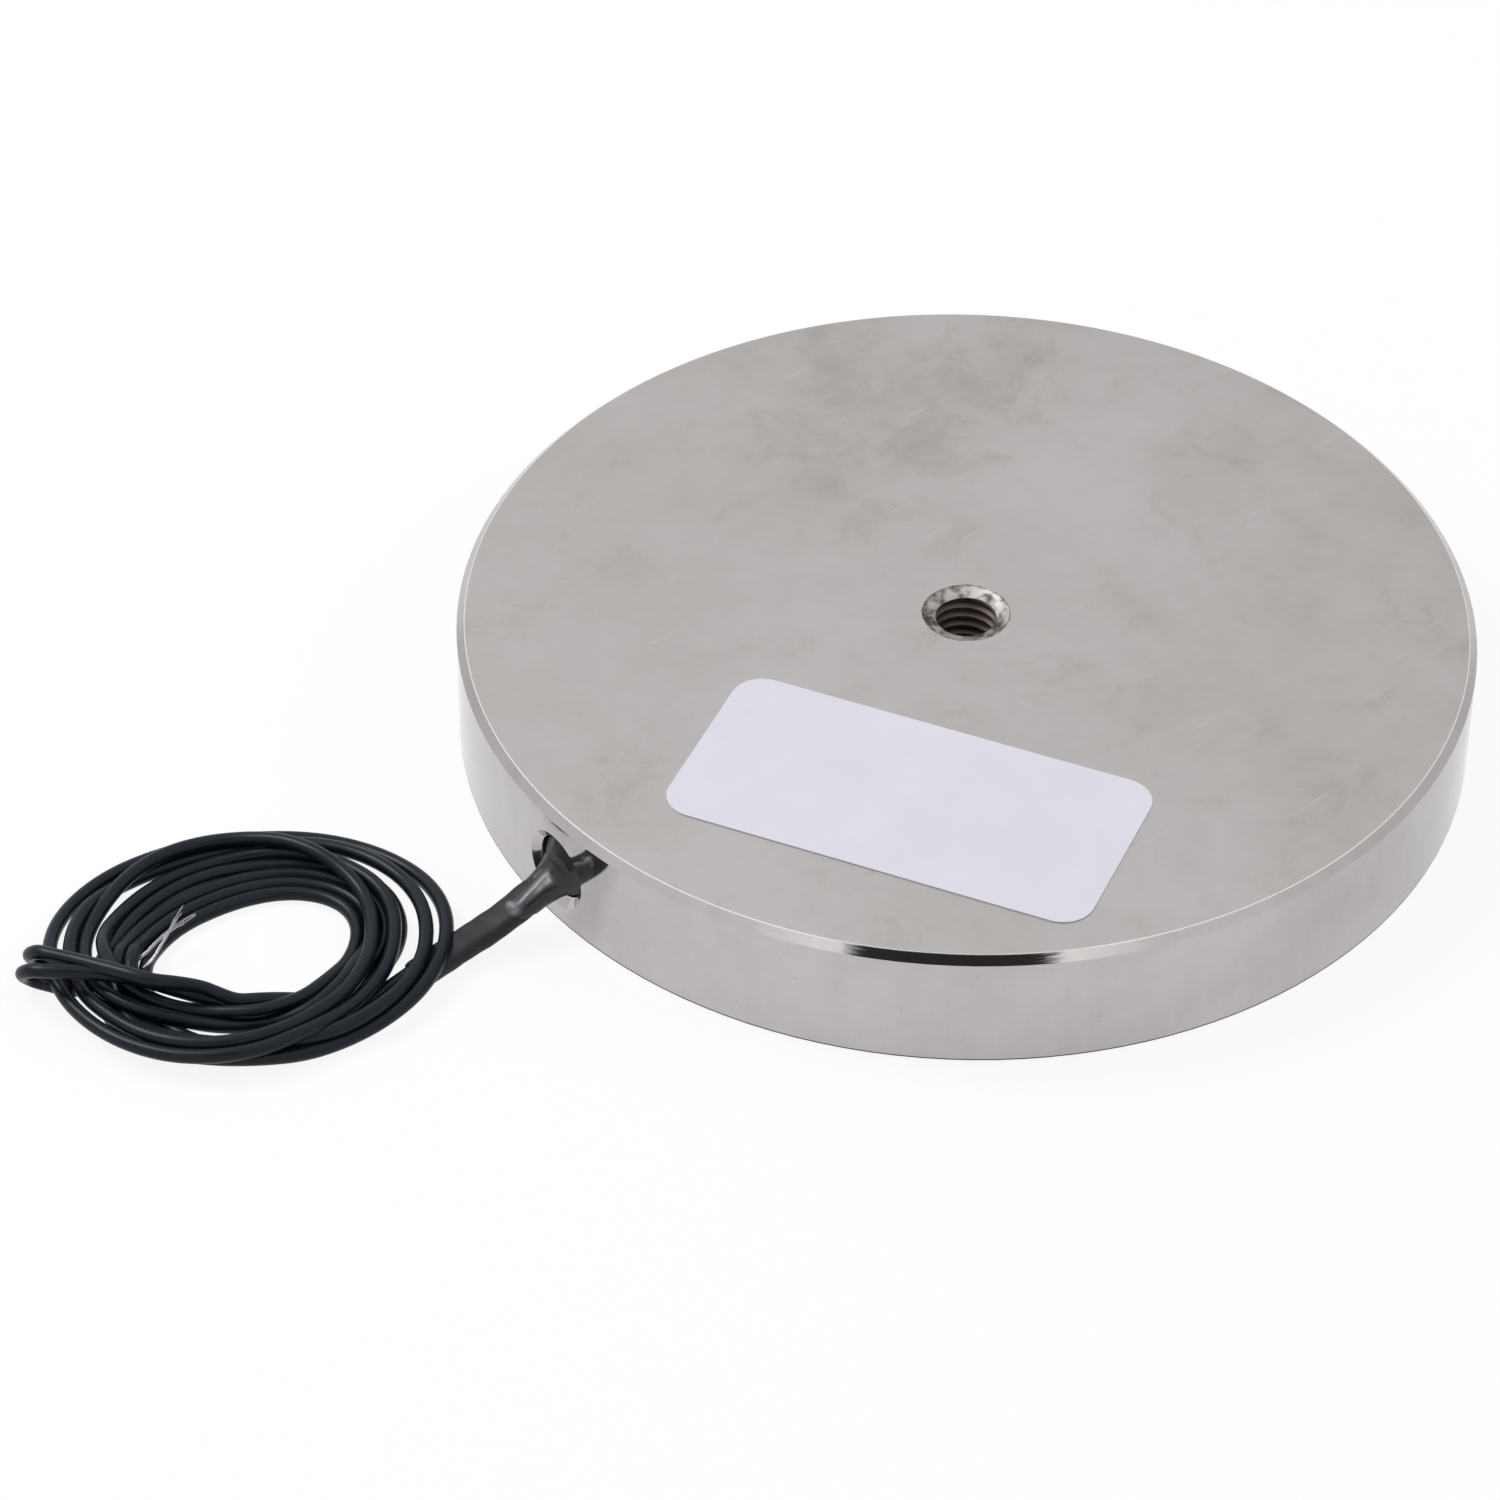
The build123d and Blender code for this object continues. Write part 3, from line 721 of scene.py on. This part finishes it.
def tapped_steel():
    """Tapped steel thread, browned by cutting oil: dull crests, with painted shade darkening the roots
    between them.

    The countersink above it is bright, torn by the tool and spotted.
    """
    material, tree = new_material("tapped_steel_oiled")
    place = add_node(tree, "TexCoord").outputs["Object"]
    radius, height = round_axis(tree, place)
    root = add_node(tree, "MapRange", {"Value": radius, "From Min": 0.00212, "From Max": 0.00242})
    cut = add_node(tree, "MapRange", {"Value": height, "From Min": 0.00855, "From Max": 0.00861})
    stain = add_node(tree, "TexNoise", {"Vector": place, "Scale": 1300.0, "Detail": 3.0})
    crest = add_node(tree, "Mix", {
        "Factor": stain, "A": linear("#736B67"), "B": linear("#5B5450")}, data_type="RGBA")
    # Painted shade: the thread's roots darkened between the crests
    root_shade_painted = add_node(tree, "Mix", {
        "Factor": root, "A": crest, "B": linear("#3E342F")}, data_type="RGBA")
    torn = add_node(tree, "MapRange", {"Value": stain, "From Min": 0.4, "From Max": 0.64})
    spotted = add_node(tree, "Mix", {
        "Factor": torn, "A": linear("#AFACAA"), "B": linear("#4E4946")}, data_type="RGBA")
    # The countersink's mouth is rolled over and dark
    mouth = add_node(tree, "MapRange", {
        "Value": radius, "From Min": 0.00293, "From Max": 0.003, "To Max": 0.6})
    rolled = add_node(tree, "Mix", {
        "Factor": mouth, "A": spotted, "B": linear("#4A4542")}, data_type="RGBA")
    colour = add_node(tree, "Mix", {"Factor": cut, "A": root_shade_painted, "B": rolled}, data_type="RGBA")
    surface = add_node(tree, "BsdfPrincipled", {
        "Base Color": colour, "Metallic": 1.0, "Roughness": 0.5})
    add_node(tree, "OutputMaterial", {"Surface": surface})
    return material


def blank_label(colours):
    """Matt polyester label, left blank: even, a little mottled, with a fine tooth."""
    material, tree = new_material("matt_polyester_label")
    place = add_node(tree, "TexCoord").outputs["Object"]
    mottle = add_node(tree, "TexNoise", {"Vector": place, "Scale": 260.0, "Detail": 4.0})
    tooth = add_node(tree, "TexNoise", {"Vector": place, "Scale": 9000.0, "Detail": 2.0})
    tint = add_node(tree, "Mix", {
        "Factor": mottle, "A": rgba(colours.label), "B": linear("#D3D2DD")}, data_type="RGBA")
    relief = add_node(tree, "Bump", {"Strength": 0.15, "Distance": 0.00002, "Height": tooth})
    surface = add_node(tree, "BsdfPrincipled", {
        "Base Color": tint, "Roughness": 0.5, "Normal": relief, "IOR": 1.5})
    add_node(tree, "OutputMaterial", {"Surface": surface})
    return material


def cast_resin(colours):
    """Black epoxy cast in the groove and ground flush: dull, with ground rings and pits."""
    material, tree = new_material("epoxy_cast_ground")
    place = add_node(tree, "TexCoord").outputs["Object"]
    # Rings left by the grinding wheel, 1 mm apart
    rings = add_node(tree, "TexWave", {
        "Vector": place, "Scale": 320.0, "Distortion": 1.2,
        "Detail": 2.0}, wave_type="RINGS", rings_direction="Z")
    pits = add_node(tree, "TexVoronoi", {"Vector": place, "Scale": 700.0})
    pitted = add_node(tree, "MapRange", {"Value": pits, "From Min": 0.05, "From Max": 0.16})
    tint = add_node(tree, "Mix", {
        "Factor": rings.outputs["Fac"], "A": rgba(colours.resin),
        "B": linear("#26272A")}, data_type="RGBA")
    height = add_node(tree, "Math", {
        0: rings.outputs["Fac"], 1: 0.25, 2: pitted}, operation="MULTIPLY_ADD")
    relief = add_node(tree, "Bump", {"Strength": 0.3, "Distance": 0.00004, "Height": height})
    surface = add_node(tree, "BsdfPrincipled", {
        "Base Color": tint, "Roughness": 0.5, "Normal": relief, "IOR": 1.55})
    add_node(tree, "OutputMaterial", {"Surface": surface})
    return material


def plain_metal(name, code, roughness, scale):
    """Soft bright metal, drawn or melted: its tone wavers with a noise about 1 mm across."""
    material, tree = new_material(name)
    place = add_node(tree, "TexCoord").outputs["Object"]
    waver = add_node(tree, "TexNoise", {"Vector": place, "Scale": scale, "Detail": 3.0})
    tint = add_node(tree, "Mix", {
        "Factor": waver, "A": linear(code), "B": linear("#9C9C9E")}, data_type="RGBA")
    surface = add_node(tree, "BsdfPrincipled", {
        "Base Color": tint, "Metallic": 1.0, "Roughness": roughness})
    add_node(tree, "OutputMaterial", {"Surface": surface})
    return material


def enamelled_copper():
    """Copper wire under clear enamel, wound in layers 0.3 mm apart."""
    material, tree = new_material("enamelled_copper_wound")
    place = add_node(tree, "TexCoord").outputs["Object"]
    turns = add_node(tree, "TexWave", {
        "Vector": place, "Scale": 1047.0}, wave_type="BANDS", bands_direction="Z")
    tint = add_node(tree, "Mix", {
        "Factor": turns.outputs["Fac"], "A": linear("#7A3D1C"),
        "B": linear("#C9743A")}, data_type="RGBA")
    relief = add_node(tree, "Bump", {
        "Strength": 0.6, "Distance": 0.0001, "Height": turns.outputs["Fac"]})
    surface = add_node(tree, "BsdfPrincipled", {
        "Base Color": tint, "Metallic": 1.0, "Roughness": 0.3, "Normal": relief})
    add_node(tree, "OutputMaterial", {"Surface": surface})
    return material


def moulded(name, code, roughness):
    """Plastic with a slight cloud in its colour, 4 mm across."""
    material, tree = new_material(name)
    place = add_node(tree, "TexCoord").outputs["Object"]
    cloud = add_node(tree, "TexNoise", {"Vector": place, "Scale": 250.0, "Detail": 3.0})
    tint = add_node(tree, "Mix", {
        "Factor": cloud, "A": linear(code), "B": linear("#B8B09A")}, data_type="RGBA")
    surface = add_node(tree, "BsdfPrincipled", {
        "Base Color": tint, "Roughness": roughness, "IOR": 1.52})
    add_node(tree, "OutputMaterial", {"Surface": surface})
    return material


# Operators


class MAGNET_OT_leads(bpy.types.Operator):
    """Makes both leads as cords, from their splices to their ends in the coil"""

    bl_idname = "magnet.leads"
    bl_label = "Leads"

    def execute(self, context):
        sizes = context.scene.magnet_sizes
        material = insulation_black(context.scene.magnet_colours)
        pieces = (
            ("lead_cord_a", "lead_a", 1, ("bare_strands_a",)),
            ("lead_cord_b", "lead_b", -1, ("shrink_sleeve", "exit_glue_bead", "bare_strands_b")))
        for route, (name, node, side, carried) in zip(lead_routes(), pieces):
            curve = nurbs_curve(name, route, sizes.lead_diameter)
            cord = add_object(name, curve, material, (node, "lead_hank"))
        return {"FINISHED"}


class MAGNET_OT_exit(bpy.types.Operator):
    """Makes the sleeve over both leads and the glue that holds it in the rim's hole"""

    bl_idname = "magnet.exit"
    bl_label = "Sleeve and glue"

    def execute(self, context):
        colours = context.scene.magnet_colours
        line = sleeve_line(lead_routes())
        tubing = shrunk_polyolefin(colours)
        add_object("shrink_sleeve", sleeve_mesh(line), tubing, ("lead_sleeve",))
        add_object("exit_glue_bead", glue_mesh(line), set_glue(), ("exit_glue",))
        return {"FINISHED"}


class MAGNET_OT_strands(bpy.types.Operator):
    """Makes the fanned fine wires at the leads' bare ends"""

    bl_idname = "magnet.strands"
    bl_label = "Bare ends"

    def execute(self, context):
        sizes = context.scene.magnet_sizes
        material = plain_metal("tinned_copper_wire", "#B2B2B4", 0.25, 1500.0)
        for name, node, middle, seed in (
                ("bare_strands_a", "lead_tip_a", BARE_A, 3),
                ("bare_strands_b", "lead_tip_b", BARE_B, 8)):
            mesh = strands_mesh(name, middle, sizes.strand_diameter, sizes.strand_count, seed)
            add_object(name, mesh, material, (node,))
        return {"FINISHED"}


class MAGNET_OT_thread(bpy.types.Operator):
    """Makes the ridges of the fixing thread in the back's hole"""

    bl_idname = "magnet.thread"
    bl_label = "Fixing thread"

    def execute(self, context):
        mesh = thread_mesh(context.scene.magnet_sizes.thread_pitch)
        add_object("fixing_thread_ridges", mesh, tapped_steel())
        return {"FINISHED"}


class MAGNET_OT_finishes(bpy.types.Operator):
    """Gives the steel, the label, the resin and the hidden winding parts their finishes"""

    bl_idname = "magnet.finishes"
    bl_label = "Finishes"

    def execute(self, context):
        colours = context.scene.magnet_colours
        solder = plain_metal("soft_solder", "#B9BABC", 0.3, 900.0)
        tubing = shrunk_polyolefin(colours)
        copper = enamelled_copper()
        finishes = {
            "magnet_shell": nickelled_steel(colours), "rating_label": blank_label(colours),
            "potting_resin": cast_resin(colours),
            "coil_bobbin": moulded("nylon_moulded", "#DAD5C4", 0.45),
            "coil_winding": copper, "start_wire": copper, "finish_wire": copper,
            "winding_tape": moulded("polyester_film_tape", "#C9A53A", 0.3),
            "splice_a": solder, "splice_b": solder, "splice_tube_a": tubing, "splice_tube_b": tubing}
        for node, material in finishes.items():
            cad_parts[node].material_slots[0].material = material
        return {"FINISHED"}


class MAGNET_PT_panel(bpy.types.Panel):
    """Lists the magnet's settings and pieces"""

    bl_idname = "MAGNET_PT_panel"
    bl_label = "Holding electromagnet"
    bl_space_type = "VIEW_3D"
    bl_region_type = "UI"
    bl_category = "Magnet"

    def draw(self, context):
        for settings in (context.scene.magnet_sizes, context.scene.magnet_colours):
            for name in settings.__annotations__:
                self.layout.prop(settings, name)
        for operator in OPERATORS:
            self.layout.operator(operator.bl_idname)


FLOOR_REACH = 1.5
# A hair below the holding face, which would otherwise share its plane
FLOOR_LEVEL = -0.00003
# Name, place and diameter in metres, power in watts, and whether it makes highlights
LAMPS = (
    ("key_softbox", (-0.25, 0.35, 0.55), 0.32, 2.6, True),
    ("fill_softbox", (0.45, -0.3, 0.5), 0.45, 1.5, False),
)


class MAGNET_OT_stage(bpy.types.Operator):
    """Makes the floor, the soft studio light and the camera at the photograph's angle"""

    bl_idname = "magnet.stage"
    bl_label = "Studio"

    def execute(self, context):
        scene = context.scene
        floor_mesh = bpy.data.meshes.new("studio_floor")
        corners = [(x * FLOOR_REACH, y * FLOOR_REACH, FLOOR_LEVEL)
                   for x, y in ((-1, -1), (1, -1), (1, 1), (-1, 1))]
        floor_mesh.from_pydata(corners, [], [(0, 1, 2, 3)])
        floor = bpy.data.objects.new("studio_floor", floor_mesh)
        scene.collection.objects.link(floor)
        floor_mesh.materials.append(white_floor())
        white_world(scene)
        for name, place, size, power, mirrored in LAMPS:
            light = bpy.data.lights.new(name, "AREA")
            light.shape = "DISK"
            light.size = size
            light.energy = power
            lamp = bpy.data.objects.new(name, light)
            lamp.location = place
            lamp.visible_glossy = mirrored
            lamp.rotation_euler = Vector(place).to_track_quat("Z", "Y").to_euler()
            scene.collection.objects.link(lamp)
        scene.view_settings.view_transform = "Standard"
        scene.camera = studio_camera()
        scene.collection.objects.link(scene.camera)
        return {"FINISHED"}


# The photograph's view: distance in metres, angles in degrees, and the picture
# point that the axis of the camera's aim falls on, in pixels of 1500
CAMERA_DISTANCE = 0.391862
CAMERA_ELEVATION = 40.39
CAMERA_AZIMUTH = -40.6
CAMERA_AIM = (962.28, 712.399)
CAMERA_ROLL = -2.247
CAMERA_FOCUS = 5615.819
PICTURE = 1500
SENSOR_WIDTH = 36.0
CLIP_START = 0.01


def studio_camera():
    """Camera at the photograph's angle: it looks at the origin's picture point, rolled."""
    elevation = math.radians(CAMERA_ELEVATION)
    place = CAMERA_DISTANCE * np.array([0, -math.cos(elevation), math.sin(elevation)])
    ahead = -place / np.linalg.norm(place)
    right = np.array([1.0, 0, 0])
    up = np.cross(right, ahead)
    off_centre = (np.array(CAMERA_AIM) - PICTURE / 2) / CAMERA_FOCUS
    aim = (off_centre[0], -off_centre[1], 1.0)
    shift = Vector((0, 0, 1)).rotation_difference(Vector(aim)).to_matrix()
    roll = Matrix.Rotation(math.radians(CAMERA_ROLL), 3, "Z")
    looks = np.stack([right, up, ahead], 1) @ np.array(roll).T @ np.array(shift).T
    axes = np.stack([looks[:, 0], looks[:, 1], -looks[:, 2]], 1)
    turn = np.array(Matrix.Rotation(math.radians(CAMERA_AZIMUTH), 3, "Z"))
    lens = bpy.data.cameras.new("photo_camera")
    lens.sensor_width = SENSOR_WIDTH
    lens.lens = CAMERA_FOCUS / PICTURE * lens.sensor_width
    lens.clip_start = CLIP_START
    camera = bpy.data.objects.new("photo_camera", lens)
    matrix = Matrix((turn @ axes).tolist()).to_4x4()
    matrix.translation = Vector(turn @ place)
    camera.matrix_world = matrix
    return camera


# How much of the floor is plain white to the camera and in mirrors
WHITE_SEEN = 0.89
WHITE_IN_MIRRORS = 0.75


def white_floor():
    """White paper sweep: matt, and lit to white.

    Most of what a camera or a mirror sees of it is plain white, which keeps its
    shadows soft.
    """
    material, tree = new_material("white_paper_sweep")
    path = add_node(tree, "LightPath")
    mirrored = add_node(tree, "Math", {
        0: path.outputs["Is Glossy Ray"], 1: path.outputs["Is Transmission Ray"]}, operation="MAXIMUM")
    in_mirrors = add_node(tree, "Math", {0: mirrored, 1: WHITE_IN_MIRRORS}, operation="MULTIPLY")
    seen = add_node(tree, "Math", {
        0: path.outputs["Is Camera Ray"], 1: WHITE_SEEN}, operation="MULTIPLY")
    share = add_node(tree, "Math", {0: in_mirrors, 1: seen}, operation="MAXIMUM")
    paper = add_node(tree, "BsdfDiffuse", {"Color": linear("#F9F9F9")})
    white = add_node(tree, "Emission", {"Color": (1, 1, 1, 1), "Strength": 1.0})
    both = add_node(tree, "MixShader", {0: share, 1: paper, 2: white})
    # Clear from below, so that the holding face can be looked at
    side = add_node(tree, "NewGeometry")
    clear = add_node(tree, "BsdfTransparent")
    sided = add_node(tree, "MixShader", {0: side.outputs["Backfacing"], 1: both, 2: clear})
    add_node(tree, "OutputMaterial", {"Surface": sided})
    return material


# What mirrors see of the surroundings. A dark patch lies where the chamfer mirrors it
# to the camera: its elevation in degrees, where it and the brighter ring round it
# begin and are full, in degrees from its middle, and their strengths
PATCH_ELEVATION = 49.6
PATCH = (18, 15, 0.03)
RING = (34, 20, 1.35)
# The same dimmed towards the floor: sine of the elevation and strength, twice
DIMMED = ((0.3, 0.83), (0.9, 1.04))
WORLD_LIGHT = 0.45


def white_world(scene):
    """White surroundings: a soft even light, seen as white.

    What mirrors see of them is a studio: a little dimmer towards the floor, and
    above the place where the photograph was taken from a round dark patch inside
    a brighter ring.
    """
    world = bpy.data.worlds.new("white_studio")
    world.use_nodes = True
    tree = world.node_tree
    tree.nodes.clear()
    path = add_node(tree, "LightPath")
    place = add_node(tree, "TexCoord").outputs["Generated"]
    height = add_node(tree, "SeparateXYZ", {"Vector": place}).outputs["Z"]
    (low, low_strength), (high, high_strength) = DIMMED
    dimmer = add_node(tree, "MapRange", {
        "Value": height, "From Min": low, "From Max": high,
        "To Min": low_strength, "To Max": high_strength})
    elevation, azimuth = math.radians(PATCH_ELEVATION), math.radians(CAMERA_AZIMUTH)
    across = math.cos(elevation)
    towards = (across * math.sin(azimuth), -across * math.cos(azimuth), math.sin(elevation))
    nearness = add_node(tree, "VectorMath", {0: place, 1: towards}, operation="DOT_PRODUCT")
    mirrored = dimmer
    for begins, full, strength in (RING, PATCH):
        disc = add_node(tree, "MapRange", {
            "Value": nearness, "From Min": math.cos(math.radians(begins)),
            "From Max": math.cos(math.radians(full)), "To Min": 1.0, "To Max": strength})
        mirrored = add_node(tree, "Math", {0: mirrored, 1: disc}, operation="MULTIPLY")
    lit = add_node(tree, "Mix", {
        "Factor": path.outputs["Is Glossy Ray"], "A": WORLD_LIGHT, "B": mirrored}, data_type="FLOAT")
    strength = add_node(tree, "Mix", {
        "Factor": path.outputs["Is Camera Ray"], "A": lit, "B": 1.0}, data_type="FLOAT")
    light = add_node(tree, "Background", {"Color": (1, 1, 1, 1), "Strength": strength})
    add_node(tree, "OutputWorld", {"Surface": light})
    scene.world = world


OPERATORS = (
    MAGNET_OT_stage, MAGNET_OT_exit, MAGNET_OT_strands, MAGNET_OT_leads, MAGNET_OT_thread,
    MAGNET_OT_finishes)
CLASSES = (MagnetSizes, MagnetColours) + OPERATORS + (MAGNET_PT_panel,)


def register():
    """Registers the classes and their settings on the scene."""
    for cls in CLASSES:
        bpy.utils.register_class(cls)
    bpy.types.Scene.magnet_sizes = bpy.props.PointerProperty(type=MagnetSizes)
    bpy.types.Scene.magnet_colours = bpy.props.PointerProperty(type=MagnetColours)


def unregister():
    """Takes the classes and their settings away again."""
    del bpy.types.Scene.magnet_sizes
    del bpy.types.Scene.magnet_colours
    for cls in reversed(CLASSES):
        bpy.utils.unregister_class(cls)


def main():
    """Registers the add-on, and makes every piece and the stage."""
    register()
    bpy.ops.magnet.stage()
    bpy.ops.magnet.exit()
    bpy.ops.magnet.strands()
    bpy.ops.magnet.leads()
    bpy.ops.magnet.thread()
    bpy.ops.magnet.finishes()


if __name__ == "__main__":
    main()
